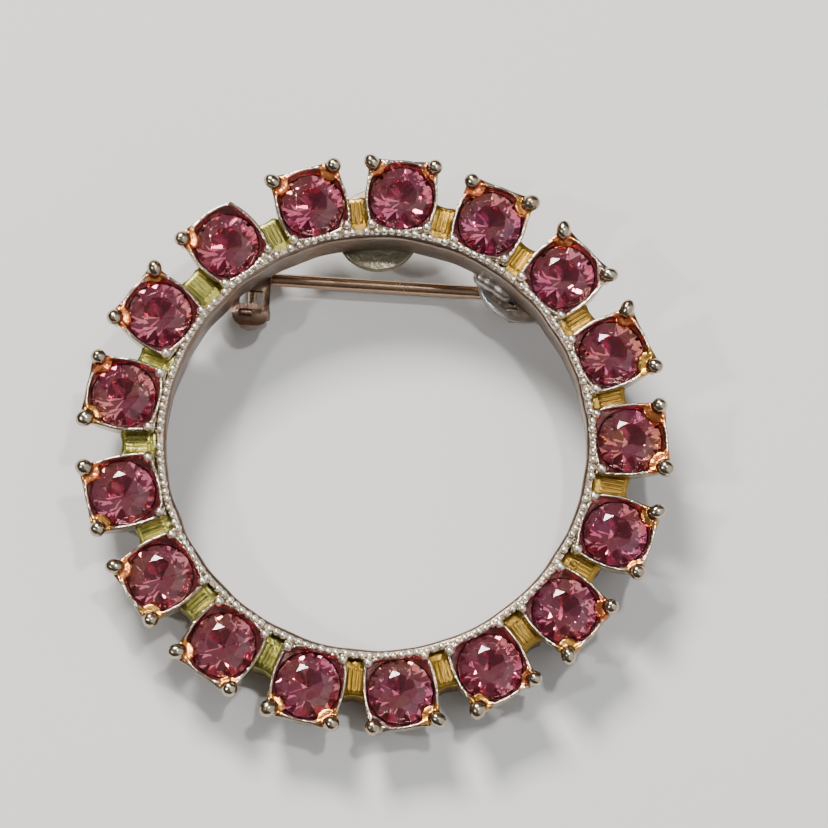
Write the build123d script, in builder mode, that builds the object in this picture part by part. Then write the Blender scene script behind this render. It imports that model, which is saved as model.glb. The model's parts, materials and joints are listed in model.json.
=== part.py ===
from build123d import *
from math import asin, atan, cos, degrees, hypot, radians, sin, tan
import os

# A round brooch of square cups with ball-tipped prongs, each holding one faceted stone.
# It is modelled face up on the plane of its back, with +Y towards the top of the brooch,
# and is then laid down as it rests by itself: on its hinge, its catch and its lower edge.
# Lengths are millimetres and angles degrees.

# Stones
stone_count = 17
stone_diameter = 4.0
table_diameter = 2.1
crown_slope = 36.0
star_slope = 21.0
upper_girdle_slope = 41.0
pavilion_slope = 41.0
lower_girdle_slope = 43.0
girdle_thickness = 0.08
culet_height = 0.1
facet_meet = 0.01
stone_turn = 19.0

# Cups that hold the stones
cup_wall = 0.24
cup_side_bow = 0.1
cup_corner_round = 0.75
cup_length_extra = 0.2
cup_back_inset = 0.65
cup_depth = 4.0
girdle_below_rim = 0.6
pocket_depth = 1.25
seat_clearance = 0.04
back_dimple_diameter = 2.2
back_dimple_depth = 0.7

# Prongs
prong_diameter = 0.72
prong_ball_diameter = 0.96
prong_ball_above_rim = 0.2
prong_across = 2.0
prong_outward = 2.02
inner_prong_diameter = 0.52
inner_prong_ball_diameter = 0.6
inner_prong_across = 1.76
inner_prong_inward = 1.98
inner_prong_ball_above_rim = 0.05
prong_foot_height = 1.9
prong_foot_diameter = 0.3
cup_without_second_prong = 16

# How far each cup was set off its even place, clockwise from the top: outwards, clockwise along the ring, turned
cup_offsets = [
    (0.0, 0.15, -1),
    (0.0, 0.15, -5),
    (0.0, 0.1, -2),
    (-0.05, 0.05, -4),
    (-0.05, -0.05, -4),
    (0.05, 0.1, -3),
    (-0.15, 0.05, 0),
    (-0.15, 0.1, -2),
    (-0.15, 0.05, -2),
    (-0.05, -0.05, -2),
    (0.0, -0.1, -1),
    (-0.05, -0.15, -2),
    (0.2, -0.25, -2),
    (0.2, 0.05, 1),
    (0.0, -0.2, 7),
    (-0.05, 0.15, -3),
    (-0.05, 0.3, 0),
]

# Links and the inner band
link_gap = 1.3
link_width = 2.0
link_top_below_rim = 0.8
link_outer_from_pitch = 0.0
rib_diameter = 0.28
rib_spacing = 0.36
rib_length = 1.2
rib_count = 3
band_bite = 0.2
band_wall_back = 0.38
band_wall_front = 0.62
band_below_rim = 0.25

# Beading along the inner edge
bead_diameter = 0.44
bead_spacing = 0.48
beads_on_cup = 6
bead_from_band_edge = 0.42
bead_below_rim = 0.1
grain_spacing = 0.5

# Plate behind the top, and where the findings sit
first_stone_clock = 1.6
plate_diameter = 5.5
plate_thickness = 0.5
plate_clock = -3.1
plate_inset = 1.2
solder_bite = 0.05
findings_clock = 37.0
findings_inset = 1.55
pin_below_back = 2.2

# Pin stem
wire_diameter = 0.85
shank_diameter = 1.3
shank_length = 0.1
taper_length = 4.4
point_diameter = 0.16
tip_past_catch = 0.6
eye_wall = 0.6
eye_turns = 2

# Hinge bracket and rivet
rivet_diameter = 0.6
rivet_running_clearance = 0.05
rivet_seat_clearance = 0.02
rivet_head_diameter = 1.1
rivet_head_height = 0.25
bracket_width = 2.4
bracket_plate_thickness = 0.5
bracket_ear_thickness = 0.5
bracket_round = 1.05
bracket_end_reach = 1.1
eye_side_clearance = 0.06
lower_ear_gap = 1.75
window_width = 1.5
window_length = 1.18
window_over_ear = 0.34
bracket_rib_diameter = 0.5
bracket_rib_length = 0.9
bracket_rib_below_window = 0.32
bracket_rib_aside = 0.3

# Catch
patch_diameter = 6.4
patch_thickness = 0.5
patch_inset = 0.6
shell_diameter = 2.6
shell_wall = 0.35
shell_cheek = 0.45
shell_foot_width = 1.5
shell_slot_clearance = 0.1
lever_length = 2.4
lever_side_clearance = 0.05
lever_running_clearance = 0.05
lever_wall = 0.35
tab_reach = 0.55
tab_thickness = 0.34
tab_length = 1.2
tab_rest_angle = -50.0
tab_room = 12.0
lever_travel = 90.0

# Sizes worked out from the ones above
stone_radius = stone_diameter / 2
crown_height = (stone_radius - table_diameter / 2) * tan(radians(crown_slope)) + girdle_thickness / 2
pavilion_height = stone_radius * tan(radians(pavilion_slope)) + girdle_thickness / 2 - culet_height
girdle_height = cup_depth - girdle_below_rim
cup_width = stone_diameter + 2 * (seat_clearance + cup_wall)
cup_length = cup_width + cup_length_extra
pitch_angle = 360 / stone_count
pitch_radius = (cup_width + link_gap) / 2 / sin(radians(pitch_angle / 2))
band_outer_radius = pitch_radius - cup_length / 2 + band_bite
band_back_radius = band_outer_radius - band_wall_back
band_front_radius = band_outer_radius - band_wall_front
band_top = cup_depth - band_below_rim
bead_circle = band_front_radius + bead_from_band_edge
findings_radius = pitch_radius - findings_inset
hinge_x = -findings_radius * sin(radians(findings_clock))
catch_x = findings_radius * sin(radians(findings_clock))
pin_y = findings_radius * cos(radians(findings_clock))
wire_radius = wire_diameter / 2
shank_radius = shank_diameter / 2
eye_bore_radius = rivet_diameter / 2 + rivet_running_clearance
eye_low = pin_y - wire_radius
eye_high = eye_low + eye_turns * wire_diameter
lower_ear_top = eye_low - lower_ear_gap
upper_ear_bottom = eye_high + eye_side_clearance
ear_round = bracket_width / 2
shell_radius = shell_diameter / 2
lever_radius = shell_radius - shell_wall - lever_running_clearance
shell_length = lever_length + 2 * (lever_side_clearance + shell_cheek)
slot_width = wire_diameter + 2 * shell_slot_clearance
tip_x = catch_x + shell_length / 2 + tip_past_catch
taper_start_x = tip_x - taper_length
shank_end_x = hinge_x + eye_bore_radius + wire_diameter + shank_length


def on_clock(radius, clock):
    """A place on a circle about the ring's centre, at an angle clockwise from the top, with +X pointing outwards."""
    turn = 90 - clock
    return Location((radius * cos(radians(turn)), radius * sin(radians(turn)), 0), (0, 0, turn))


stone_clocks = [first_stone_clock + number * pitch_angle for number in range(stone_count)]
seats = []
for number, clock in enumerate(stone_clocks):
    outwards, clockwise, turned = cup_offsets[number % len(cup_offsets)]
    seats.append(on_clock(pitch_radius, clock) * Location((outwards, -clockwise, 0), (0, 0, -turned)))
gaps = [on_clock(pitch_radius, clock + pitch_angle / 2) for clock in stone_clocks]


def facet_plane(azimuth, slope, reach, height, side):
    """The plane of one facet: its outward normal leans from the stone's axis by the slope."""
    across = sin(radians(slope))
    flat = (cos(radians(azimuth)), sin(radians(azimuth)))
    return Plane(
        origin=(reach * flat[0], reach * flat[1], height),
        z_dir=(across * flat[0], across * flat[1], side * cos(radians(slope))),
    )


def facet_planes():
    """Every sloping facet of the stone, crown first."""
    half_girdle = girdle_thickness / 2
    flat_reach = stone_radius * cos(radians(11.25))
    star_reach = table_diameter / 2 * cos(radians(22.5)) - facet_meet
    planes = []
    for azimuth in range(0, 360, 45):
        planes.append(facet_plane(azimuth, crown_slope, stone_radius - facet_meet, half_girdle, 1))
        planes.append(facet_plane(azimuth + 22.5, star_slope, star_reach, crown_height, 1))
        planes.append(facet_plane(azimuth, pavilion_slope, stone_radius - facet_meet, -half_girdle, -1))
        for side in (-11.25, 11.25):
            planes.append(facet_plane(azimuth + side, upper_girdle_slope, flat_reach, half_girdle, 1))
            planes.append(facet_plane(azimuth + side, lower_girdle_slope, flat_reach, -half_girdle, -1))
    return planes


# One cut stone, with the middle of its girdle at the origin
with BuildPart() as cut_stone:
    with BuildSketch(Plane.XY.offset(-pavilion_height)):
        RegularPolygon(radius=stone_radius, side_count=16)
    extrude(amount=pavilion_height + crown_height)
    for plane in facet_planes():
        split(bisect_by=plane, keep=Keep.BOTTOM)


def cup_section(height, inset):
    """A rounded square about the stone's axis whose four sides bow outwards."""
    half_long = cup_length / 2 - inset
    half_wide = cup_width / 2 - inset
    with BuildSketch(Plane.XY.offset(height)) as section:
        with BuildLine():
            ThreePointArc((half_long, -half_wide), (half_long + cup_side_bow, 0), (half_long, half_wide))
            ThreePointArc((half_long, half_wide), (0, half_wide + cup_side_bow), (-half_long, half_wide))
            ThreePointArc((-half_long, half_wide), (-half_long - cup_side_bow, 0), (-half_long, -half_wide))
            ThreePointArc((-half_long, -half_wide), (0, -half_wide - cup_side_bow), (half_long, -half_wide))
        make_face()
        fillet(section.vertices(), cup_corner_round - inset)
    return section.sketch


# What is hollowed out of one cup: the square pocket, the stone's conical seat and the dimple behind it
pocket_floor = cup_depth - pocket_depth
seat_slope = tan(radians(pavilion_slope))
seat_apex = girdle_height - stone_radius * seat_slope - girdle_thickness / 2
seat_apex -= seat_clearance / cos(radians(pavilion_slope))
seat_bottom = girdle_height - pavilion_height - seat_clearance
with BuildPart() as pocket:
    add(cup_section(pocket_floor, cup_wall))
    extrude(amount=pocket_depth)
    with BuildSketch(Plane.XZ):
        Polygon(
            (0, seat_bottom),
            ((seat_bottom - seat_apex) / seat_slope, seat_bottom),
            ((pocket_floor + girdle_thickness - seat_apex) / seat_slope, pocket_floor + girdle_thickness),
            (0, pocket_floor + girdle_thickness),
            align=None,
        )
    revolve(axis=Axis.Z)
    Cylinder(back_dimple_diameter / 2, back_dimple_depth, align=(Align.CENTER, Align.CENTER, Align.MIN))

up_from_base = (Align.CENTER, Align.CENTER, Align.MIN)


# The solid outside of one cup: upright beside the pocket and narrower towards the back
with BuildPart() as cup:
    loft(sections=[cup_section(0, cup_back_inset), cup_section(pocket_floor, 0)])
    add(cup_section(pocket_floor, 0))
    extrude(amount=pocket_depth)

# One outer prong and one inner prong, growing out of the cup's corners
with BuildPart() as prong:
    prong_length = cup_depth + prong_ball_above_rim - prong_foot_height
    with Locations((0, 0, prong_foot_height)):
        Cone(prong_foot_diameter / 2, prong_diameter / 2, prong_length, align=up_from_base)
    with Locations((0, 0, cup_depth + prong_ball_above_rim)):
        Sphere(prong_ball_diameter / 2)
with BuildPart() as inner_prong:
    inner_prong_length = cup_depth + inner_prong_ball_above_rim - prong_foot_height
    with Locations((0, 0, prong_foot_height)):
        Cone(prong_foot_diameter / 2, inner_prong_diameter / 2, inner_prong_length, align=up_from_base)
    with Locations((0, 0, cup_depth + inner_prong_ball_above_rim)):
        Sphere(inner_prong_ball_diameter / 2)

# One link, with its ribs running outwards
link_top = cup_depth - link_top_below_rim
link_outer = link_outer_from_pitch
link_inner = band_outer_radius - pitch_radius - band_bite
with BuildPart() as link:
    with Locations(((link_outer + link_inner) / 2, 0, 0)):
        Box(link_outer - link_inner, link_width, link_top, align=up_from_base)
    with Locations((link_outer - rib_length / 2 - rib_diameter / 2, 0, link_top)):
        with GridLocations(0, rib_spacing, 1, rib_count):
            Cylinder(rib_diameter / 2, rib_length, rotation=(0, 90, 0))
    grain_turn = degrees(grain_spacing / bead_circle / 2)
    grain_out = bead_circle * cos(radians(grain_turn)) - pitch_radius
    for side in (-1, 1):
        with Locations((grain_out, side * bead_circle * sin(radians(grain_turn)), 0)):
            Cylinder(bead_diameter / 2, cup_depth - bead_below_rim, align=up_from_base)
        with Locations((grain_out, side * bead_circle * sin(radians(grain_turn)), cup_depth - bead_below_rim)):
            Sphere(bead_diameter / 2)

# Where the prongs stand, and the beads along the inner edge, a row for each cup
prong_places = []
for number, seat in enumerate(seats, 1):
    for side in (1, -1):
        if number != cup_without_second_prong or side == 1:
            prong_places.append(seat * Location((prong_outward, side * prong_across, 0)))
inner_prong_places = [
    seat * Location((-inner_prong_inward, side * inner_prong_across, 0)) for seat in seats for side in (-1, 1)
]
bead_step = degrees(bead_spacing / bead_circle)
bead_places = [
    on_clock(bead_circle, clock + bead_step * (bead - (beads_on_cup - 1) / 2))
    * Location((0, 0, cup_depth - bead_below_rim))
    for clock in stone_clocks
    for bead in range(beads_on_cup)
]

# The catch's fixed parts along the pin's line
catch_line = Plane(origin=(catch_x, pin_y, -pin_below_back), x_dir=(0, 1, 0), z_dir=(1, 0, 0))
patch_place = on_clock(pitch_radius - patch_inset, findings_clock)
patch_centre = patch_place.position

# The cast ring with everything that is soldered to it
with BuildPart() as setting_ring:
    with BuildSketch(Plane.XZ):
        Polygon(
            (band_back_radius, 0),
            (band_outer_radius, 0),
            (band_outer_radius, band_top),
            (band_front_radius, band_top),
            align=None,
        )
    revolve(axis=Axis.Z)
    with Locations(*gaps):
        add(link.part)
    with Locations(*seats):
        add(cup.part)
    with Locations(*seats):
        add(pocket.part, mode=Mode.SUBTRACT)
    with Locations(*prong_places):
        add(prong.part)
    with Locations(*inner_prong_places):
        add(inner_prong.part)
    with Locations(*bead_places):
        Sphere(bead_diameter / 2)

    # Round plate behind the top
    with BuildSketch(Plane.XY.offset(-plate_thickness)):
        with Locations(on_clock(pitch_radius - plate_inset, plate_clock)):
            Circle(plate_diameter / 2)
    extrude(amount=plate_thickness + solder_bite)

    # Hinge bracket: a plate with a window, and two ears
    bracket_low = lower_ear_top - bracket_ear_thickness - bracket_end_reach
    bracket_high = upper_ear_bottom + bracket_ear_thickness
    window_low = lower_ear_top - window_over_ear
    with BuildSketch(Plane.XY.offset(-bracket_plate_thickness)) as bracket_plate:
        with Locations((hinge_x, (bracket_low + bracket_high) / 2)):
            Rectangle(bracket_width, bracket_high - bracket_low)
        fillet(bracket_plate.vertices().group_by(Axis.Y)[0], bracket_round)
        with Locations((hinge_x, window_low + window_length / 2)):
            Rectangle(window_width, window_length, mode=Mode.SUBTRACT)
    extrude(amount=bracket_plate_thickness + solder_bite)
    ear_reach = pin_below_back - bracket_plate_thickness / 2
    for ear_side in (lower_ear_top, upper_ear_bottom + bracket_ear_thickness):
        with BuildSketch(Plane.XZ.offset(-ear_side)):
            with Locations((hinge_x, -pin_below_back + ear_reach / 2)):
                Rectangle(bracket_width, ear_reach)
            with Locations((hinge_x, -pin_below_back)):
                Circle(ear_round)
                Circle(rivet_diameter / 2 + rivet_seat_clearance, mode=Mode.SUBTRACT)
        extrude(amount=bracket_ear_thickness)
    with Locations((hinge_x - bracket_rib_aside, window_low - bracket_rib_below_window, solder_bite)):
        Cylinder(bracket_rib_diameter / 2, bracket_rib_length, rotation=(0, 90, 0))

    # Catch: a round patch, a foot and the shell that the lever turns in
    with BuildSketch(Plane.XY.offset(-patch_thickness)):
        with Locations((patch_centre.X, patch_centre.Y)):
            Circle(patch_diameter / 2)
    extrude(amount=patch_thickness + solder_bite)
    with BuildSketch(catch_line.offset(-shell_length / 2)):
        Circle(shell_radius)
        with Locations((0, (pin_below_back - patch_thickness / 2) / 2)):
            Rectangle(shell_foot_width, pin_below_back - patch_thickness / 2)
    extrude(amount=shell_length)
    with BuildSketch(catch_line.offset(-lever_length / 2 - lever_side_clearance)):
        Circle(shell_radius - shell_wall)
    extrude(amount=lever_length + 2 * lever_side_clearance, mode=Mode.SUBTRACT)
    with BuildSketch(catch_line.offset(-shell_length / 2)):
        Circle(slot_width / 2)
        with Locations((0, -shell_radius)):
            Rectangle(slot_width, 2 * shell_radius)
    extrude(amount=shell_length, mode=Mode.SUBTRACT)
    # Room in the shell for the tab's travel
    sweep_start = tab_rest_angle - tab_room
    sweep_end = tab_rest_angle + lever_travel + tab_room
    with BuildSketch(catch_line.offset(-tab_length / 2 - lever_side_clearance)):
        with BuildLine():
            start = (2 * shell_radius * sin(radians(sweep_start)), -2 * shell_radius * cos(radians(sweep_start)))
            middle = (0, -2 * shell_radius)
            end = (2 * shell_radius * sin(radians(sweep_end)), -2 * shell_radius * cos(radians(sweep_end)))
            Line((0, 0), start)
            ThreePointArc(start, middle, end)
            Line(end, (0, 0))
        make_face()
    extrude(amount=tab_length + 2 * lever_side_clearance, mode=Mode.SUBTRACT)

# The pin stem: an eye of two turns on the rivet, a thicker shank beside it, the wire and its point
with BuildPart() as pin_stem:
    with BuildSketch(Plane.XY.offset(-pin_below_back)):
        with BuildLine():
            Polyline(
                (hinge_x + eye_bore_radius + wire_radius, pin_y),
                (hinge_x + eye_bore_radius + wire_radius, pin_y + shank_radius),
                (shank_end_x, pin_y + shank_radius),
                (shank_end_x + shank_radius - wire_radius, pin_y + wire_radius),
                (taper_start_x, pin_y + wire_radius),
                (tip_x, pin_y + point_diameter / 2),
                (tip_x, pin_y),
                close=True,
            )
        make_face()
    revolve(axis=Axis((0, pin_y, -pin_below_back), (1, 0, 0)))
    with BuildSketch(Plane.XY.offset(-pin_below_back)):
        with Locations((hinge_x + eye_bore_radius + eye_wall / 2, (eye_low + eye_high) / 2)):
            Rectangle(eye_wall, eye_high - eye_low)
        for turn in range(eye_turns):
            with Locations((hinge_x + eye_bore_radius + wire_radius, pin_y + turn * wire_diameter)):
                Circle(wire_radius)
    revolve(axis=Axis((hinge_x, 0, -pin_below_back), (0, 1, 0)))

# The rivet, with a low head outside each ear
rivet_low = lower_ear_top - bracket_ear_thickness
rivet_high = upper_ear_bottom + bracket_ear_thickness
head_start = rivet_seat_clearance
with BuildPart() as hinge_rivet:
    with BuildSketch(Plane.XY.offset(-pin_below_back)):
        with BuildLine():
            Polyline(
                (hinge_x, rivet_low - head_start - rivet_head_height),
                (hinge_x + rivet_head_diameter / 3, rivet_low - head_start - rivet_head_height),
                (hinge_x + rivet_head_diameter / 2, rivet_low - head_start),
                (hinge_x + rivet_diameter / 2, rivet_low - head_start),
                (hinge_x + rivet_diameter / 2, rivet_high + head_start),
                (hinge_x + rivet_head_diameter / 2, rivet_high + head_start),
                (hinge_x + rivet_head_diameter / 3, rivet_high + head_start + rivet_head_height),
                (hinge_x, rivet_high + head_start + rivet_head_height),
                close=True,
            )
        make_face()
    revolve(axis=Axis((hinge_x, 0, -pin_below_back), (0, 1, 0)))

# The catch's lever: a slotted drum with a thumb tab, shown open
with BuildPart() as catch_lever:
    with BuildSketch(catch_line.offset(-lever_length / 2)):
        Circle(lever_radius)
        Circle(lever_radius - lever_wall, mode=Mode.SUBTRACT)
        with Locations((0, -lever_radius)):
            Rectangle(slot_width, 2 * lever_radius, mode=Mode.SUBTRACT)
    extrude(amount=lever_length)
    tab_base = lever_radius - lever_wall / 2
    tab_end = shell_radius + tab_reach
    with BuildSketch(catch_line.offset(-tab_length / 2)):
        with Locations(Location((0, 0), tab_rest_angle)):
            with Locations((0, -(tab_base + tab_end) / 2)):
                Rectangle(tab_thickness, tab_end - tab_base)
            with Locations((0, -tab_end)):
                Circle(tab_thickness / 2)
    extrude(amount=tab_length)

# How the brooch lies: its back leans between its lower edge and the parts behind its top
foot_outward = cup_length / 2 - cup_back_inset
foot_across = cup_width / 2 - cup_back_inset
lower_edge = -min(
    (seat * Location((foot_outward, side * foot_across, 0))).position.Y for seat in seats for side in (-1, 1)
)
hinge_span = pin_y + lower_edge
hinge_lean = degrees(atan(pin_below_back / hinge_span) + asin(ear_round / hypot(hinge_span, pin_below_back)))
shell_drop = (shell_radius**2 - (slot_width / 2) ** 2) ** 0.5
catch_lean = degrees(atan((pin_below_back + shell_drop) / (hinge_span - slot_width / 2)))
lean = max(hinge_lean, catch_lean)

# Each stone in its seat, turned a little from its neighbour
stones = {}
for number, seat in enumerate(seats, 1):
    with BuildPart() as stone:
        with Locations(seat * Location((0, 0, girdle_height), (0, 0, number * stone_turn))):
            add(cut_stone.part)
    stones[f"stone_{number:02d}"] = stone.part

pieces = {
    "setting_ring": setting_ring.part,
    **stones,
    "pin_stem": pin_stem.part,
    "hinge_rivet": hinge_rivet.part,
    "catch_lever": catch_lever.part,
}

# Lay every piece down, with the origin under the middle of the whole brooch
leaning = Location((0, 0, 0), (lean, 0, 0))
laid = Compound(children=[piece.moved(leaning) for piece in pieces.values()]).bounding_box()
rest = Location((-laid.center().X, -laid.center().Y, -laid.min.Z)) * leaning
os.makedirs("parts", exist_ok=True)
for name, piece in pieces.items():
    piece.move(rest)
    piece.label = name
    export_step(piece, f"parts/{name}.step")
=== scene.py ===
import json
import math
import random

import bpy
import numpy as np
from bpy.props import FloatProperty, FloatVectorProperty, IntProperty, PointerProperty
from mathutils import Matrix, Vector


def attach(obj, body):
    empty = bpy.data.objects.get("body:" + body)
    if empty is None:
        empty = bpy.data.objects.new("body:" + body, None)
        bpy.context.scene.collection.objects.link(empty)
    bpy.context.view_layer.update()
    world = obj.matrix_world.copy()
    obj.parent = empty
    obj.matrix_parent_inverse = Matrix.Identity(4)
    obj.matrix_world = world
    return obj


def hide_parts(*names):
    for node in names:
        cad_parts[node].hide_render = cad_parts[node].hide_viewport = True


bl_info = {
    "name": "Rhinestone brooch",
    "version": (1, 0, 0),
    "blender": (4, 5, 0),
    "location": "View3D > Sidebar > Brooch",
    "description": "Dresses the brooch's solids with its cast settings, links, findings, stones and stage",
    "category": "Object",
}

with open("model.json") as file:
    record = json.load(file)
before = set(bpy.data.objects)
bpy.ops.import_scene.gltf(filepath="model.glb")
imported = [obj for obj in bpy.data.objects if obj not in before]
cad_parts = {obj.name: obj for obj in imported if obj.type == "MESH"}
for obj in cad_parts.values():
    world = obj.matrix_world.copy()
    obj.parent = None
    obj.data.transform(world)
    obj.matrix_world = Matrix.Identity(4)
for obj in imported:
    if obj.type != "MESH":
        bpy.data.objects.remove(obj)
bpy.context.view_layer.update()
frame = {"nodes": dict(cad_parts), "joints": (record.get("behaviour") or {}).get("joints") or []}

# The pieces are modelled in millimetres, face up on the plane of the brooch's back, with +Y towards its
# top, and are then laid down as the solids lie. The pin's joint gives the lean and the place.
PIN_BELOW_BACK = 2.2
PIN_JOINT = next(joint for joint in frame["joints"] if joint["name"] == "pin_swing")
LEAN = math.atan2(PIN_JOINT["axis"][2], PIN_JOINT["axis"][1])
HINGE_X, PIN_Y = -8.6635, 11.4969
CATCH_X = -HINGE_X
LEANING = Matrix.Rotation(LEAN, 4, "X")
HINGE_AT = LEANING @ Vector((HINGE_X, PIN_Y, -PIN_BELOW_BACK))
LAY_DOWN = Matrix.Translation(Vector(PIN_JOINT["pos_m"]) * 1000 - HINGE_AT) @ LEANING
TO_METRES = Matrix.Scale(0.001, 4)

# The ring of cups
CUP_COUNT = 17
FIRST_CLOCK = 1.6
PITCH_RADIUS = 15.9456
CUP_DEPTH = 4.0
CUP_HALF_LENGTH = 2.38
CUP_HALF_WIDTH = 2.32
CUP_WALL = 0.21
CUP_BACK = 0.72
POCKET_FLOOR = 2.75
BAND_OUTER = 13.7656
BAND_BACK = 13.3856
BAND_FRONT = 13.1456
BAND_TOP = 3.79
BEAD_CIRCLE = 13.57
STONE_HEIGHT = 3.4

# Where the prongs' posts stand from the stone's axis, outwards and to each side, and their lower ends
OUTER_POST = (2.02, 2.0)
INNER_POST = (-1.98, 1.76)
POST_START, POST_TIP = 1.9, 0.14

# Which way an outer prong and its foot point: degrees from straight outwards
PRONG_TURN, FOOT_TURN = 42, 44
FOOT_HALF_THICKNESS = 0.11

# The catch's round patch behind the ring, and the solder that runs from it to the band
PATCH_CLOCK = 35.7
PATCH_INSET = 0.72
PATCH_RADIUS = 3.2
PATCH_EDGE_LIMIT = 16.6
RIDGE_RADIUS = 3.06
RIDGE_DIRECTION = -141
SOLDER_RADIUS = 13.38
SOLDER_CLOCKS = (27.0, 36.0, 0.9)

# The hinge bracket's ears, and the catch's shell around the pin's line
EAR_THICKNESS = 0.5
LOWER_EAR_TOP = 9.3219
UPPER_EAR_BOTTOM = 12.8319
BRACKET_HALF_WIDTH = 1.2
SHELL_RADIUS = 1.3
SHELL_LENGTH = 3.4
SLOT_HALF_WIDTH = 0.525

# The camera, from how the ring's stones lie in the photograph: the ring's turns about X, Y and Z in
# degrees, the lens from the ring's middle in millimetres, and the focal length in picture widths
CAMERA_TURNS = (-12.0, 1.1, -5.2)
CAMERA_OFFSET = (2.34, 1.77, 200.0)
FOCAL_LENGTH = 3189.3 / 828
SENSOR_WIDTH = 36

# Each cup, clockwise from the top: how far it was set off its even place, outwards and clockwise, how far
# it is turned, how square it is, and for its first and its second outer prong the shape, the foot over the
# stone and how orange the painted reflection of the stone on that foot is
CUPS = [
    (0.0, 0.15, -1, 0.42, ("pear", "small", 0.7), ("round", "small", 0.9)),
    (0.0, 0.15, -5, 0.52, ("round", "wide", 1.0), ("broad", "wide", 0.35)),
    (0.0, 0.1, -2, 0.52, ("pointed", "wide", 0.9), ("pear", "none", 0.6)),
    (-0.05, 0.05, -4, 0.52, ("pointed", "wide", 1.0), ("claw", "broad", 0.0)),
    (-0.05, -0.05, -4, 0.68, ("round", "broad", 0.8), ("broad", "broad", 0.7)),
    (0.05, 0.1, -3, 0.52, ("pear", "wide", 0.45), ("round", "small", 0.6)),
    (-0.15, 0.05, 0, 0.52, ("round", "wide", 1.0), ("pear", "wide", 0.1)),
    (-0.15, 0.1, -2, 0.52, ("round", "small", 0.8), ("broad", "wide", 0.15)),
    (-0.15, 0.05, -2, 0.52, ("pear", "wide", 0.3), ("round", "none", 0.6)),
    (-0.05, -0.05, -2, 0.52, ("round", "wide", 0.6), ("broad", "wide", 0.3)),
    (0.0, -0.1, -1, 0.52, ("round", "small", 0.5), ("pear", "wide", 0.55)),
    (-0.05, -0.15, -2, 0.52, ("round", "wide", 0.2), ("pear", "wide", 0.8)),
    (0.2, -0.25, -2, 0.68, ("round", "wide", 0.25), ("broad", "wide", 0.8)),
    (0.2, 0.05, 1, 0.52, ("broad", "wide", 0.3), ("round", "wide", 1.0)),
    (0.0, -0.2, 7, 0.52, ("round", "wide", 0.8), ("pear", "small", 0.6)),
    (-0.05, 0.15, -3, 0.42, ("round", "wide", 0.8), ("none", "none", 0.6)),
    (-0.05, 0.3, 0, 0.52, ("pear", "wide", 0.9), ("round", "wide", 0.7)),
]

# Shapes of the outer prongs: ball radius, how far it leans outwards, how far it stands above the rim, and
# how long it is for its width
PRONG_SHAPES = {
    "round": (0.5, 0.0, 0.06, 1.0),
    "broad": (0.53, 0.02, 0.03, 1.12),
    "pear": (0.47, 0.06, 0.03, 1.25),
    "pointed": (0.45, 0.1, 0.0, 1.4),
    "claw": (0.48, 0.02, 0.03, 1.1),
}

# The foot that each outer prong lays over its stone: half its length, half its width, and how far it is
# from the stone's axis
PRONG_FEET = {
    "small": (0.45, 0.46, 2.36),
    "wide": (0.58, 0.68, 2.28),
    "broad": (0.62, 0.92, 2.24),
}

# Links painted pale and greenish, as a painted reflection of the light on that side of the ring
REFLECTING_LINKS = range(9, 16)


def mm(length):
    """A property's metres as the modelling's millimetres."""
    return length * 1000


def rng(name):
    """A steady source of small differences for one piece."""
    return random.Random(name)


def clock_matrix(radius, clock):
    """A place on a circle about the ring's centre, clockwise from the top, with +X pointing outwards."""
    turn = math.radians(90 - clock)
    return Matrix.Rotation(turn, 4, "Z") @ Matrix.Translation((radius, 0, 0))


def cup_clock(number):
    """The even place of one cup, counted from 0, or of the gap after it."""
    return FIRST_CLOCK + number * 360 / CUP_COUNT


def seat_matrix(number):
    """The place of one cup, counted from 0."""
    outwards, clockwise, turned = CUPS[number][:3]
    shift = Matrix.Translation((outwards, -clockwise, 0))
    turn = Matrix.Rotation(math.radians(-turned), 4, "Z")
    return clock_matrix(PITCH_RADIUS, cup_clock(number)) @ shift @ turn


def rising(values, start, width):
    """0 up to a start, and 1 from one width past it."""
    return np.clip((values - start) / width, 0, 1)


def falling(values, end, width):
    """1 until one width before an end, and 0 past it."""
    return np.clip((end - values) / width, 0, 1)


def deselect():
    """Nothing is selected and object mode is on."""
    if bpy.context.object and bpy.context.object.mode != "OBJECT":
        bpy.ops.object.mode_set(mode="OBJECT")
    bpy.ops.object.select_all(action="DESELECT")


def pick(*objects):
    """Selects just these, with the first one active."""
    deselect()
    for one in objects:
        one.select_set(True)
    bpy.context.view_layer.objects.active = objects[0]
    return objects[0]


def new_piece(name):
    """Names the primitive that was just added."""
    piece = bpy.context.object
    piece.name = name
    piece.data.name = name
    return piece


def apply_place(piece):
    """Puts the object's place, turn and size into its mesh."""
    pick(piece)
    bpy.ops.object.transform_apply(location=True, rotation=True, scale=True)
    return piece


def place_piece(piece, scale=(1, 1, 1), turn=(0, 0, 0), at=(0, 0, 0)):
    """Stretches, turns and moves a piece, in its mesh."""
    piece.scale = scale
    piece.rotation_euler = turn
    piece.location = at
    return apply_place(piece)


def lay(piece, axis, at):
    """Gives an upright piece a quarter turn about an axis and then moves it."""
    piece.matrix_world = Matrix.Rotation(math.radians(90), 4, axis)
    return place_piece(apply_place(piece), at=at)


def edit(action="SELECT"):
    """Edit mode, with everything in the mesh picked or nothing."""
    bpy.ops.object.mode_set(mode="EDIT")
    bpy.ops.mesh.select_all(action=action)


def leave_edit():
    """Object mode."""
    bpy.ops.object.mode_set(mode="OBJECT")


def face_outwards():
    """Turns the faces of the mesh in edit mode outwards and leaves edit mode."""
    bpy.ops.mesh.select_all(action="SELECT")
    bpy.ops.mesh.normals_make_consistent(inside=False)
    leave_edit()


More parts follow.
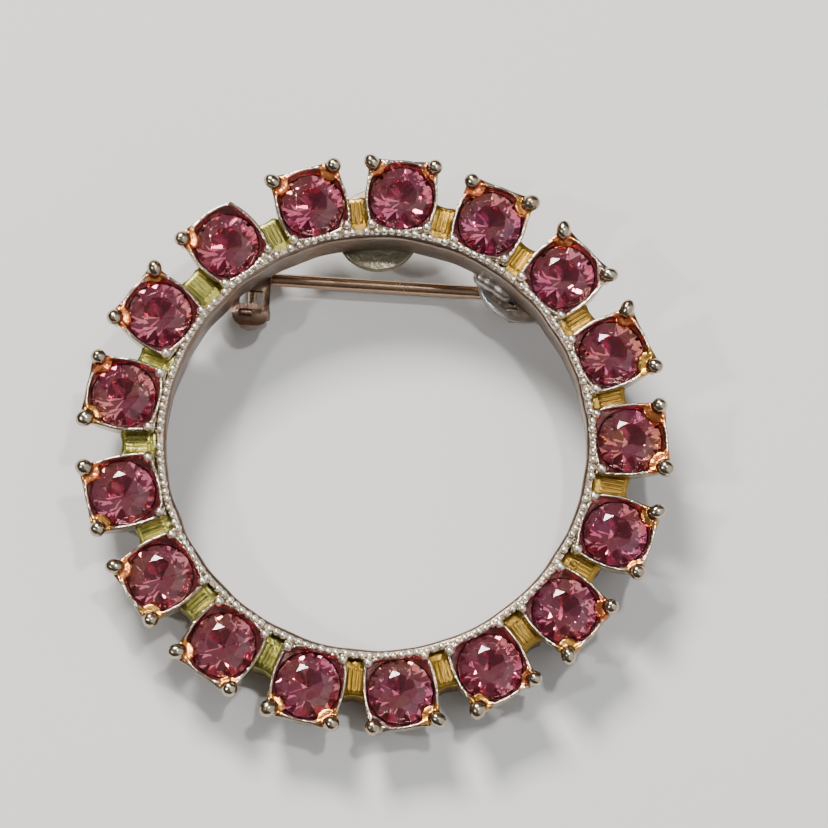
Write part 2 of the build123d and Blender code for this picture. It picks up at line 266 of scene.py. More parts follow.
def finish_modifier(piece, kind, **values):
    """Adds one modifier and applies it."""
    modifier = piece.modifiers.new(kind.title(), kind)
    for key, value in values.items():
        setattr(modifier, key, value)
    pick(piece)
    bpy.ops.object.modifier_apply(modifier=modifier.name)
    return piece


def bevel(piece, width, segments):
    """Rounds a piece's edges."""
    return finish_modifier(piece, "BEVEL", width=width, segments=segments, limit_method="ANGLE")


def add_cylinder(name, radius, low, high, x=0.0, y=0.0, vertices=32, top_radius=None):
    """A cylinder or cone standing between two heights."""
    deselect()
    size = {"vertices": vertices, "depth": high - low, "location": (x, y, (low + high) / 2)}
    if top_radius is None:
        bpy.ops.mesh.primitive_cylinder_add(radius=radius, **size)
    else:
        bpy.ops.mesh.primitive_cone_add(radius1=radius, radius2=top_radius, **size)
    return apply_place(new_piece(name))


def add_rod(name, radius, length, axis, at, vertices=48):
    """A cylinder lying about its middle: a turn about Y lays it across the brooch, about X up it."""
    return lay(add_cylinder(name, radius, -length / 2, length / 2, vertices=vertices), axis, at)


def add_ball(name, radius, place, segments=24, rings=14):
    """A ball at its place."""
    deselect()
    bpy.ops.mesh.primitive_uv_sphere_add(segments=segments, ring_count=rings, radius=radius, location=place)
    return apply_place(new_piece(name))


def add_box(name, low, high):
    """A box between two corners."""
    deselect()
    middle = [(a + b) / 2 for a, b in zip(low, high)]
    bpy.ops.mesh.primitive_cube_add(size=1, location=middle, scale=[b - a for a, b in zip(low, high)])
    return apply_place(new_piece(name))


def join(name, pieces):
    """One object from several."""
    pick(*pieces)
    if len(pieces) > 1:
        bpy.ops.object.join()
    return new_piece(name)


def boolean(piece, tool, operation):
    """Cuts or joins with another closed mesh, which is then removed."""
    finish_modifier(piece, "BOOLEAN", operation=operation, object=tool, solver="EXACT")
    bpy.data.objects.remove(tool)
    return piece


def cut(piece, *tools):
    """Cuts other closed meshes out of a piece."""
    for tool in tools:
        boolean(piece, tool, "DIFFERENCE")
    return piece


def remesh(piece, voxel, smooth, keep_faces):
    """Runs the joined shapes together into one skin, as cast metal does, and eases its corners."""
    finish_modifier(piece, "REMESH", mode="VOXEL", voxel_size=voxel, adaptivity=0.0)
    finish_modifier(piece, "SMOOTH", factor=0.5, iterations=smooth)
    triangles = sum(len(face.vertices) - 2 for face in piece.data.polygons)
    if triangles > keep_faces:
        finish_modifier(piece, "DECIMATE", ratio=keep_faces / triangles)
    return piece


def soften(piece, angle):
    """Smooth shading that keeps edges sharper than the angle."""
    pick(piece)
    bpy.ops.object.shade_smooth_by_angle(angle=math.radians(angle))
    return piece


def copy_of(template, name, matrix):
    """A copy with its own mesh, moved to its place."""
    piece = template.copy()
    piece.data = template.data.copy()
    piece.name = name
    piece.data.name = name
    bpy.context.scene.collection.objects.link(piece)
    piece.matrix_world = matrix
    return apply_place(piece)


def mark(piece, name, values):
    """Stores a number from 0 to 1 for each vertex, or one for them all, for the materials to read."""
    layer = piece.data.attributes.get(name) or piece.data.attributes.new(name, "FLOAT", "POINT")
    layer.data.foreach_set("value", np.full(len(piece.data.vertices), values, dtype=np.float32))


def vertices_of(piece):
    """The mesh's points as rows."""
    points = np.empty(len(piece.data.vertices) * 3, dtype=np.float32)
    piece.data.vertices.foreach_get("co", points)
    return points.reshape(-1, 3)


def hand_over(piece, metal, body="brooch", nodes=("setting_ring",)):
    """Lays the finished piece down with the solids, in metres, and gives it its metal and its body."""
    piece.matrix_world = TO_METRES @ LAY_DOWN
    apply_place(piece)
    piece.data.materials.clear()
    piece.data.materials.append(MATERIALS[metal])
    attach(piece, body)
    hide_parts(*nodes)


# Sizes and colours a user would change


def a_length(name, description, default):
    """One size among the settings."""
    return FloatProperty(name=name, description=description, default=default, unit="LENGTH", precision=5)


def a_colour(name, description, default):
    """One colour among the settings."""
    return FloatVectorProperty(
        name=name, description=description, default=default, subtype="COLOR", min=0, max=1
    )


class BROOCH_PG_cups(bpy.types.PropertyGroup):
    wall: a_length("Wall", "Thickness of a cup's rim", CUP_WALL / 1000)
    grain: a_length("Skin size", "Size of the steps in the cast skin", 0.00006)
    faces: IntProperty(name="Triangles", description="Triangles kept in each cup", default=14000, min=2000)


class BROOCH_PG_band(bpy.types.PropertyGroup):
    bead_diameter: a_length("Bead diameter", "Diameter of the small beads on the inner edge", 0.00047)
    bead_spacing: a_length("Bead spacing", "Distance from one bead to the next", 0.00048)
    beads_on_cup: IntProperty(name="Beads on a cup", description="Beads beside each cup", default=6, min=1)


class BROOCH_PG_finish(bpy.types.PropertyGroup):
    plating: a_colour("Plating", "Colour of the pale plating", (0.5, 0.42, 0.31))
    plating_warm: a_colour("Worn plating", "Colour where the plating has warmed", (0.36, 0.25, 0.16))
    # The painted pink reflection of the stones on the cups' inner walls
    lining: a_colour("Cup lining", "Colour inside the cups' walls", (0.58, 0.3, 0.28))
    # The painted reflection of the stone on the prongs' feet, and the orange it turns to
    gilt: a_colour("Gilt", "Colour of the painted reflection under the prongs", (0.52, 0.27, 0.04))
    reflected_orange_colour: a_colour("Orange stone reflection", "Colour where that painted reflection turns orange", (0.58, 0.14, 0.035))
    foil: a_colour("Foil", "Colour of the seat behind each stone", (0.34, 0.3, 0.42))
    band: a_colour("Band", "Colour of the band's plating", (0.26, 0.2, 0.155))
    band_warm: a_colour("Worn band", "Colour where the band's plating has warmed", (0.2, 0.125, 0.085))
    # The beads' light colour is a painted highlight
    bead: a_colour("Beads", "Colour of the beads on the inner edge, light as a painted highlight", (0.95, 0.86, 0.72))
    link_gilt: a_colour("Link gilt", "Colour of the links between the cups", (0.36, 0.2, 0.01))
    # The painted pale, greenish reflection on the links at the left
    pale_gilt: a_colour("Pale link gilt", "Colour of the links that have gone pale", (0.27, 0.26, 0.04))
    plate: a_colour("Top plate", "Colour of the plate behind the top", (0.2, 0.18, 0.12))
    findings: a_colour("Hinge bracket", "Colour of the hinge bracket", (0.2, 0.12, 0.095))
    catch: a_colour("Catch", "Colour of the catch's plating", (0.58, 0.53, 0.5))
    catch_warm: a_colour("Worn catch", "Colour where the catch's plating has warmed", (0.3, 0.25, 0.2))
    # The painted highlight on the catch patch's ridge
    ridge_highlight: a_colour("Ridge highlight", "Colour of the painted highlight on the patch's ridge", (0.85, 0.96, 0.98))
    pin: a_colour("Pin", "Colour of the pin's plating", (0.46, 0.29, 0.19))
    stone: a_colour("Stone", "Colour of the cut glass", (0.8, 0.09, 0.19))
    stone_light: a_colour("Stone's light", "Colour of its lighter flecks", (1.0, 0.32, 0.36))
    # The stones' painted orange and violet flashes
    stone_edge: a_colour("Stone flash", "Colour of a painted orange flash at one side of each stone", (1.0, 0.52, 0.12))
    stone_deep: a_colour("Stone violet flash", "Colour of a painted violet flash at another side of each stone", (0.66, 0.12, 0.6))


class BROOCH_PG_stage(bpy.types.PropertyGroup):
    floor_size: a_length("Floor", "Width of the floor", 3.0)
    floor_colour: a_colour("Floor colour", "Colour of the floor", (0.72, 0.71, 0.7))
    key_power: FloatProperty(
        name="Key light", description="Power of the main light", default=4.6, unit="POWER"
    )
    sky: FloatProperty(name="Sky", description="Strength of the light from all round", default=0.3, min=0)


# Materials


def new_group(name, inputs, outputs):
    """An empty node group with named sockets: each is name, kind and default."""
    group = bpy.data.node_groups.new(name, "ShaderNodeTree")
    for socket, kind, default in inputs:
        made = group.interface.new_socket(socket, in_out="INPUT", socket_type=kind)
        made.default_value = default
    for socket, kind in outputs:
        group.interface.new_socket(socket, in_out="OUTPUT", socket_type=kind)
    group.nodes.new("NodeGroupInput")
    group.nodes.new("NodeGroupOutput")
    return group


def fill(tree, made, sources):
    """Fills a node's inputs from other nodes' sockets or from values: a plain colour is three numbers."""
    for name, source in sources.items():
        socket = made.inputs[name]
        if isinstance(source, bpy.types.NodeSocket):
            tree.links.new(source, socket)
        elif socket.type == "RGBA":
            socket.default_value = (*source, 1)
        else:
            socket.default_value = source
    return made


def node(tree, kind, sources=None, **values):
    """Adds one node, sets its own values and fills its inputs."""
    made = tree.nodes.new(kind)
    for key, value in values.items():
        setattr(made, key, value)
    return fill(tree, made, sources or {})


def noise(tree, place, scale, detail, roughness=0.5):
    """How a noise pattern varies over the surface."""
    sources = {"Vector": place, "Scale": scale, "Detail": detail, "Roughness": roughness}
    return node(tree, "ShaderNodeTexNoise", sources).outputs["Fac"]


def map_range(tree, value, limits, results):
    """A number from between two limits, brought between two results."""
    sources = {"Value": value, "From Min": limits[0], "From Max": limits[1]}
    sources.update({"To Min": results[0], "To Max": results[1]})
    return node(tree, "ShaderNodeMapRange", sources).outputs["Result"]


def ramp(tree, factor, stops):
    """A colour ramp: each stop is a place and a colour."""
    made = node(tree, "ShaderNodeValToRGB", {"Fac": factor})
    elements = made.color_ramp.elements
    while len(elements) < len(stops):
        elements.new(0.5)
    for element, (place, shade) in zip(elements, stops):
        element.position = place
        element.color = (*shade, 1)
    return made.outputs["Color"]


def mix_colour(tree, factor, first, second):
    """Mixes two colours, each a socket or a plain colour: inputs 0, 6 and 7 are those of a colour mix."""
    made = node(tree, "ShaderNodeMix", data_type="RGBA")
    return fill(tree, made, {0: factor, 6: first, 7: second}).outputs[2]


def math_node(tree, operation, *numbers):
    """One sum on numbers or sockets."""
    return node(tree, "ShaderNodeMath", dict(enumerate(numbers)), operation=operation).outputs["Value"]


def cast_skin_group():
    """The soft unevenness of cast and plated metal, as a normal, with fine pits."""
    group = new_group(
        "Cast skin",
        [("Swell", "NodeSocketFloat", 0.3), ("Pits", "NodeSocketFloat", 0.15)],
        [("Normal", "NodeSocketVector")],
    )
    given = group.nodes["Group Input"].outputs
    place = node(group, "ShaderNodeTexCoord").outputs["Object"]
    normal = {}
    for depth, scale, detail, roughness, distance in (
        ("Swell", 900.0, 3.0, 0.5, 0.0002),
        ("Pits", 5200.0, 2.0, 0.6, 0.00004),
    ):
        height = noise(group, place, scale, detail, roughness)
        bump = {"Strength": given[depth], "Distance": distance, "Height": height, **normal}
        normal = {"Normal": node(group, "ShaderNodeBump", bump).outputs["Normal"]}
    fill(group, group.nodes["Group Output"], normal)
    return group


# The plating group's colours and numbers, with the defaults they have in the group
PLATING_COLOURS = {
    "Pale": (0.8, 0.7, 0.55), "Warm": (0.6, 0.4, 0.3), "Gilt": (0.7, 0.5, 0.1), "Fired": (0.7, 0.2, 0.05),
    "Foil": (0.4, 0.4, 0.5), "Lining": (0.5, 0.2, 0.2),
}
PLATING_NUMBERS = {"Gilding": 0.0, "Firing": 0.0, "Foiling": 0.0, "Lined": 0.0, "Grime": 0.0, "Sheen": 0.2}
# Colour of dirt, and of the painted shade in the cups, the band and the links
SHADE_AND_DIRT_COLOUR = (0.09, 0.06, 0.035)


def plating_group():
    """Pale plating that has warmed in patches, with gilt, dirt, and painted light and shade where the piece
    says.
    """
    group = new_group(
        "Plating",
        [(name, "NodeSocketColor", (*shade, 1)) for name, shade in PLATING_COLOURS.items()]
        + [(name, "NodeSocketFloat", number) for name, number in PLATING_NUMBERS.items()],
        [("Color", "NodeSocketColor"), ("Roughness", "NodeSocketFloat")],
    )
    given = group.nodes["Group Input"].outputs
    place = node(group, "ShaderNodeTexCoord").outputs["Object"]
    warm = map_range(group, noise(group, place, 420.0, 4.0, 0.6), (0.42, 0.66), (0.05, 0.75))
    shade = mix_colour(group, warm, given["Pale"], given["Warm"])
    shade = mix_colour(group, given["Lined"], shade, given["Lining"])
    gilt = mix_colour(group, given["Firing"], given["Gilt"], given["Fired"])
    shade = mix_colour(group, given["Gilding"], shade, gilt)
    shade = mix_colour(group, given["Foiling"], shade, given["Foil"])
    shade = mix_colour(group, given["Grime"], shade, SHADE_AND_DIRT_COLOUR)
    worn = math_node(group, "MULTIPLY_ADD", warm, 0.12, given["Sheen"])
    dulled = math_node(group, "MULTIPLY_ADD", given["Grime"], 0.35, worn)
    fill(group, group.nodes["Group Output"], {"Color": shade, "Roughness": dulled})
    return group


def new_material(name):
    """An empty material with its Principled shader."""
    material = bpy.data.materials.new(name)
    material.use_nodes = True
    shader = material.node_tree.nodes["Principled BSDF"]
    return material, material.node_tree, shader


# The settings' colours that every metal starts from
SHADES = {
    "Pale": "plating", "Warm": "plating_warm", "Gilt": "gilt", "Fired": "reflected_orange_colour", "Foil": "foil",
    "Lining": "lining",
}

# Each metal: its name, how dull, how uneven and how pitted it is, the settings' colours that it has of its
# own, and its share of gilt and painted reflection, of painted orange, of foil, of painted wall reflection
# and of dirt and painted shade, each as a number or as the name of one stored on the piece's points
SHADED_AND_DIRTY = {"Grime": "grime"}
GILDED = {"Gilding": 0.9, "Grime": "grime"}
CAST = {"Gilding": "gilding", "Firing": "firing", "Foiling": "foiling", "Lined": "lining", "Grime": "grime"}
CATCH_SHADES = {"Pale": "catch", "Warm": "catch_warm", "Gilt": "ridge_highlight"}
# The catch's ridge takes a painted highlight
HIGHLIGHTED = {"Grime": "grime", "Gilding": "polish"}
METALS = {
    "cup": ("Cup plating", 0.15, 0.6, 0.25, {}, CAST),
    "band": ("Band plating", 0.28, 0.45, 0.4, {"Pale": "band", "Warm": "band_warm"}, SHADED_AND_DIRTY),
    "bead": ("Bead plating with painted highlight", 0.26, 0.1, 0.1, {"Pale": "bead", "Warm": "bead"}, {}),
    "link": ("Link gilding", 0.24, 0.7, 0.4, {"Gilt": "link_gilt"}, GILDED),
    "pale_link": ("Pale link gilding", 0.24, 0.7, 0.4, {"Gilt": "pale_gilt"}, GILDED),
    "plate": ("Plate plating", 0.34, 0.5, 0.5, {"Gilt": "plate"}, {"Gilding": 0.85}),
    "bracket": ("Bracket plating", 0.3, 0.5, 0.35, {"Pale": "findings"}, SHADED_AND_DIRTY),
    "findings": ("Findings plating", 0.24, 0.4, 0.35, CATCH_SHADES, HIGHLIGHTED),
    "wire": ("Wire plating", 0.2, 0.05, 0.15, {"Gilt": "pin"}, {"Gilding": 0.9}),
    "lever": ("Lever plating", 0.24, 0.1, 0.15, {}, {}),
}
MATERIALS = {}


def plated_metal(skin_group, group, name, sheen, swell, pits, shades, amounts):
    """One row of METALS as a material."""
    finish = bpy.context.scene.brooch_finish
    material, tree, shader = new_material(name)
    skin = node(tree, "ShaderNodeGroup", {"Swell": swell, "Pits": pits}, node_tree=skin_group)
    given = {socket: tuple(getattr(finish, setting)) for socket, setting in {**SHADES, **shades}.items()}
    for socket, amount in amounts.items():
        if isinstance(amount, str):
            stored = node(tree, "ShaderNodeAttribute", attribute_name=amount, attribute_type="GEOMETRY")
            amount = stored.outputs["Fac"]
        given[socket] = amount
    plating = node(tree, "ShaderNodeGroup", {**given, "Sheen": sheen}, node_tree=group)
    surface = {"Base Color": plating.outputs["Color"], "Roughness": plating.outputs["Roughness"]}
    fill(tree, shader, {**surface, "Metallic": 1.0, "Normal": skin.outputs["Normal"]})
    return material


def make_materials():
    """Every metal of the brooch, built once."""
    groups = cast_skin_group(), plating_group()
    MATERIALS.update({key: plated_metal(*groups, *row) for key, row in METALS.items()})


# Cups


def cup_prism(name, half_length, half_width, squareness, levels):
    """An upright prism between round and square: each level is a height and how wide the prism is there."""
    deselect()
    bpy.ops.mesh.primitive_circle_add(vertices=64, radius=1, fill_type="NGON")
    piece = new_piece(name)
    finish_modifier(
        piece, "CAST", cast_type="CUBOID", factor=squareness, use_z=False, use_radius_as_size=False,
        size=1.0,
    )
    side = vertices_of(piece)[:, 0].max()
    low, wide = levels[0]
    place_piece(piece, scale=(wide * half_length / side, wide * half_width / side, 1), at=(0, 0, low))
    edit()
    for high, wider in levels[1:]:
        bpy.ops.mesh.extrude_region_move(TRANSFORM_OT_translate={"value": (0, 0, high - low)})
        bpy.ops.transform.resize(value=(wider / wide, wider / wide, 1), center_override=(0, 0, high))
        low, wide = high, wider
    face_outwards()
    return piece


def foot_place(side, foot):
    """Where the middle of a prong's foot lies, beside the stone's axis."""
    reach, turn = PRONG_FEET[foot][2], math.radians(FOOT_TURN)
    return Vector((reach * math.cos(turn), side * reach * math.sin(turn), 0))


def outer_prong(side, form, foot):
    """A tapered post with its ball, a web that fills the cup's corner and a foot over the stone."""
    radius, lean, above, stretch = PRONG_SHAPES[form]
    web_reach, web_stretch, foot_tilt, foot_below_rim = 2.5, 1.7, math.radians(-8), 0.16
    outward = side * math.radians(PRONG_TURN)
    along, beside = math.cos(outward), math.sin(outward)
    x, y, top = OUTER_POST[0], side * OUTER_POST[1], CUP_DEPTH + above
    post = add_cylinder("prong_post", POST_TIP, POST_START, top, x, y, vertices=24, top_radius=0.4)
    ball = add_ball("prong_ball", radius, (0, 0, 0))
    ball_at = (x + lean * along, y + lean * beside, top)
    place_piece(ball, scale=(stretch, 1, 0.95), turn=(0, 0, outward), at=ball_at)
    web = add_cylinder("prong_web", 0.5, 2.3, CUP_DEPTH - 0.06, vertices=3, top_radius=0.79)
    web_at = (web_reach * along, web_reach * beside, 0)
    place_piece(web, scale=(web_stretch, 1, 1), turn=(0, 0, outward - math.pi / 2), at=web_at)
    parts = [post, ball, web]
    if foot != "none":
        half_length, half_width = PRONG_FEET[foot][:2]
        plate = add_cylinder(
            "prong_foot", 1.0, -FOOT_HALF_THICKNESS, FOOT_HALF_THICKNESS, vertices=9, top_radius=0.82
        )
        at = foot_place(side, foot) + Vector((0, 0, CUP_DEPTH - foot_below_rim))
        parts.append(
            place_piece(plate, scale=(half_length, half_width, 1), turn=(0, foot_tilt, outward), at=at)
        )
    return parts


def inner_prong(side):
    """One of the two small prongs beside the ring's opening, with the metal behind it."""
    x, y = INNER_POST[0], side * INNER_POST[1]
    post = add_cylinder("inner_post", POST_TIP, POST_START, CUP_DEPTH, x, y, 16, top_radius=0.26)
    near, far = sorted((side * 0.8, side * 2.05))
    corner = add_box("inner_corner", (-CUP_HALF_LENGTH, near, 1.5), (-2.06, far, CUP_DEPTH - 0.15))
    return [post, corner, add_ball("inner_ball", 0.27, (x, y, CUP_DEPTH + 0.01), 16, 10)]


def cup_body(half_length, half_width, squareness):
    """The cup without its prongs, open in front for the stone and its seat and dimpled behind."""
    wall = mm(bpy.context.scene.brooch_cups.wall)
    bore, flare_start, open_top = 2.06, 3.3, CUP_DEPTH + 1
    levels = [(0.0, CUP_BACK), (POCKET_FLOOR, 1.0), (CUP_DEPTH, 1.0)]
    body = cup_prism("cup_body", half_length, half_width, squareness, levels)
    levels = [(flare_start, 1.0), (open_top, 1.0)]
    flare = cup_prism("cup_flare", half_length - wall, half_width - wall, squareness, levels)
    cone = add_cylinder("cup_cone", bore, 3.42, open_top, vertices=64, top_radius=4.2)
    boolean(flare, cone, "INTERSECT")
    return cut(
        body,
        flare,
        add_cylinder("cup_bore", bore, POCKET_FLOOR, 3.5, vertices=64),
        add_cylinder("cup_seat", 0.12, 1.62, POCKET_FLOOR + 0.05, vertices=32, top_radius=1.48),
        add_cylinder("cup_dimple", 1.1, -1.0, 0.7),
    )


def mark_cup(cup, half_length, half_width, squareness, prongs):
    """Stores the painted reflections of the stone on the feet and walls, the bright foil, and the painted
    shade.
    """
    points = vertices_of(cup)
    high = points[:, 2]
    taper = CUP_BACK + (1 - CUP_BACK) * np.clip(high / POCKET_FLOOR, 0, 1)
    across = points[:, 0] / half_length / taper, points[:, 1] / half_width / taper
    reach = np.hypot(*across)
    edge = 1 - squareness + squareness * reach / np.maximum(np.maximum(*np.abs(across)), 1e-6)
    inside = rising(1 - reach / edge, 0.055, 0.03) * rising(high, 1.2, 0.2)
    seat = inside * falling(high, 2.9, 0.1)
    reflecting = np.zeros(len(points))
    for side, (_, foot) in zip((1, -1), prongs):
        if foot != "none":
            middle = np.array(foot_place(side, foot)[:2])
            outwards = points[:, :2] @ (middle / np.hypot(*middle))
            around = np.hypot(*(points[:, :2] - middle).T)
            near = falling(around, max(PRONG_FEET[foot][:2]) + 0.16, 0.12)
            near *= falling(outwards, 2.7, 0.1) * falling(high, CUP_DEPTH + 0.12, 0.08)
            reflecting = np.maximum(reflecting, near * (high > 3.3))
    # Painted orange reflection of the stone on the prongs' feet
    mark(cup, "gilding", reflecting * 0.92)
    # Painted pink reflection of the stone on the cup's inner walls
    mark(cup, "lining", inside * falling(high, CUP_DEPTH + 0.05, 0.12) * 0.9)
    mark(cup, "foiling", seat)
    # Painted shade: darker towards the back and a little darker inside the cup, though not on its seat
    mark(cup, "grime", np.maximum(falling(high, 3.3, 3.0) * 0.35, inside * 0.1) * (1 - seat))


def model_cup(squareness, prongs):
    """One cup with its prongs, cast in one: +X points away from the ring's centre."""
    cups = bpy.context.scene.brooch_cups
    outline = CUP_HALF_LENGTH, CUP_HALF_WIDTH, squareness
    parts = [cup_body(*outline)]
    for side, (form, foot) in zip((1, -1), prongs):
        if form != "none":
            parts += outer_prong(side, form, foot)
        parts += inner_prong(side)
    cup = remesh(join("cup", parts), mm(cups.grain), smooth=2, keep_faces=cups.faces)
    mark_cup(cup, *outline, prongs)
    return soften(cup, 60)


def mark_orange_share(cup, prongs):
    """Stores how orange the painted reflection is: each side of the cup as its prong's foot."""
    points = vertices_of(cup)
    second = falling(points[:, 1], 1.2, 2.4)
    outer = rising(points[:, 0], -0.6, 1.2)
    feet = prongs[0][2] * (1 - second) + prongs[1][2] * second
    mark(cup, "firing", feet * outer + 0.55 * (1 - outer))


class BROOCH_OT_cups(bpy.types.Operator):
    """Model the cast cups with their ball prongs, one for each form, and set a copy at every seat"""

    bl_idname = "brooch.cups"
    bl_label = "Cups"

    def execute(self, context):
        forms = {}
        for number, (*_, squareness, first, second) in enumerate(CUPS):
            form = (squareness, first[:2], second[:2])
            if form not in forms:
                forms[form] = model_cup(squareness, form[1:])
            mark_orange_share(forms[form], (first, second))
            hand_over(copy_of(forms[form], f"cup_{number + 1:02d}", seat_matrix(number)), "cup")
        for template in forms.values():
            bpy.data.objects.remove(template)
        return {"FINISHED"}


# Band, beads and links


class BROOCH_OT_band(bpy.types.Operator):
    """Model the band inside the cups by spinning its rounded section"""

    bl_idname = "brooch.band"
    bl_label = "Band"

    def section(self):
        """The band's section as a flat piece, with both its inner corners rounded."""
        deselect()
        bpy.ops.mesh.primitive_plane_add(size=1, rotation=(math.radians(90), 0, 0))
        band = apply_place(new_piece("band"))
        for vertex in band.data.vertices:
            outer, high = vertex.co.x > 0, vertex.co.z > 0
            vertex.co.z = BAND_TOP if high else 0
            vertex.co.x = BAND_OUTER if outer else BAND_FRONT if high else BAND_BACK
        front_rounding, back_rounding = 0.34, 0.1
        for rounding, high in ((front_rounding, True), (back_rounding, False)):
            edit("DESELECT")
            bpy.ops.mesh.select_mode(type="VERT")
            leave_edit()
            for vertex in band.data.vertices:
                vertex.select = vertex.co.x < BAND_OUTER - 0.1 and (vertex.co.z > 1) == high
            bpy.ops.object.mode_set(mode="EDIT")
            bpy.ops.mesh.bevel(offset=rounding, segments=5, affect="VERTICES")
            leave_edit()
        return band

    def execute(self, context):
        band = self.section()
        edit()
        bpy.ops.mesh.delete(type="ONLY_FACE")
        bpy.ops.mesh.select_all(action="SELECT")
        bpy.ops.mesh.spin(steps=255, angle=math.tau, center=(0, 0, 0), axis=(0, 0, 1))
        bpy.ops.mesh.select_all(action="SELECT")
        bpy.ops.mesh.remove_doubles(threshold=0.001)
        face_outwards()
        uneven = rng("band")
        waves = [
            (uneven.randint(9, 40), uneven.uniform(0, math.tau), uneven.uniform(0.006, 0.014))
            for _ in range(7)
        ]
        for vertex in band.data.vertices:
            turn = math.atan2(vertex.co.y, vertex.co.x)
            swell = sum(size * math.sin(count * turn + start) for count, start, size in waves)
            gap = math.cos(CUP_COUNT * (math.radians(90 - FIRST_CLOCK) - turn) + math.pi)
            lean = 1 - (swell + 0.045 * max(gap, 0)) / BAND_OUTER
            vertex.co.x *= lean
            vertex.co.y *= lean
        # Painted shade: the band is darker towards its back
        mark(band, "grime", falling(vertices_of(band)[:, 2], 1.4, 2.4) * 0.4)
        hand_over(soften(band, 50), "band")
        return {"FINISHED"}


class BROOCH_OT_beads(bpy.types.Operator):
    """Model one small bead and set copies along the band's edge and on the inner prongs"""

    bl_idname = "brooch.beads"
    bl_label = "Beads"

    def execute(self, context):
        band = context.scene.brooch_band
        uneven = rng("beads")
        step = math.degrees(mm(band.bead_spacing) / BEAD_CIRCLE)
        count = band.beads_on_cup
        deselect()
        bpy.ops.mesh.primitive_ico_sphere_add(subdivisions=2, radius=mm(band.bead_diameter) / 2)
        template = new_piece("bead")
        pieces = []
        for number in range(CUP_COUNT):
            clock = cup_clock(number)
            clocks = [clock + step * (bead - (count - 1) / 2) for bead in range(count)]
            gap = clock + 180 / CUP_COUNT
            clocks += [gap + step * side * uneven.uniform(1.35, 1.6) for side in (-1, 1)]
            middles = (-0.5, 0.5)[: uneven.randint(1, 2)]
            clocks += [gap + step * (middle + uneven.uniform(-0.1, 0.1)) for middle in middles]
            for place in clocks:
                size = uneven.uniform(0.88, 1.1)
                radius = BEAD_CIRCLE + uneven.uniform(-0.03, 0.03)
                at = clock_matrix(radius, place + uneven.uniform(-0.12, 0.12))
                at = at @ Matrix.Translation((0, 0, CUP_DEPTH - 0.1 + uneven.uniform(-0.03, 0.03)))
                at = at @ Matrix.Diagonal((size, size * uneven.uniform(0.92, 1.08), size, 1))
                pieces.append(copy_of(template, "bead", at))
            # Larger beads over the inner prongs' balls, whose light colour paints a highlight on them
            for side in (-1, 1):
                size = uneven.uniform(1.15, 1.4)
                at = Matrix.Translation((INNER_POST[0], side * INNER_POST[1], CUP_DEPTH + 0.06))
                at = seat_matrix(number) @ at @ Matrix.Diagonal((size, size, size, 1))
                pieces.append(copy_of(template, "bead", at))
        bpy.data.objects.remove(template)
        hand_over(soften(join("beads", pieces), 80), "bead")
        return {"FINISHED"}


class BROOCH_OT_links(bpy.types.Operator):
    """Model one ribbed link and set copies between the cups"""

    bl_idname = "brooch.links"
    bl_label = "Links"

    def execute(self, context):
        inner, outer, top, half_width = BAND_OUTER - PITCH_RADIUS - 0.2, 0.18, 3.2, 0.95
        body = bevel(add_box("link_body", (inner, -half_width, 0.0), (outer, half_width, top - 0.02)), 0.4, 5)
        cut(body, add_cylinder("link_end", 1.2, -1, 4, 1.22, vertices=64))
        root = add_box("link_root", (inner, -half_width, 0.0), (inner + 0.75, half_width, top - 0.1))
        parts = [body, root]
        for place in (-0.39, -0.13, 0.13, 0.39):
            rib = add_cylinder("rib", 0.12, -1.6, -0.25, vertices=12)
            parts.append(lay(rib, "Y", (0, place, top - 0.07)))
        link = remesh(join("link", parts), 0.05, smooth=2, keep_faces=4200)
        # Painted shade: darker below the link's top; each link also gets a random amount of dirt
        grime = falling(vertices_of(link)[:, 2], top - 0.08, 0.4) * 0.6
        soften(link, 60)
        uneven = rng("links")
        for number in range(CUP_COUNT):
            mark(link, "grime", np.minimum(grime + uneven.uniform(0, 0.3), 1))
            place = clock_matrix(PITCH_RADIUS, cup_clock(number + 0.5))
            piece = copy_of(link, f"link_{number + 1:02d}", place)
            hand_over(piece, "pale_link" if number in REFLECTING_LINKS else "link")
        bpy.data.objects.remove(link)
        return {"FINISHED"}


# What is soldered behind the ring


class BROOCH_OT_plate(bpy.types.Operator):
    """Model the round plate behind the top"""

    bl_idname = "brooch.plate"
    bl_label = "Top plate"

    def execute(self, context):
        centre = clock_matrix(PITCH_RADIUS - 1.2, -3.1).translation
        plate = add_cylinder("top_plate", 2.75, -0.5, 0.02, centre.x, centre.y, vertices=64)
        hand_over(soften(bevel(plate, 0.12, 3), 40), "plate")
        return {"FINISHED"}


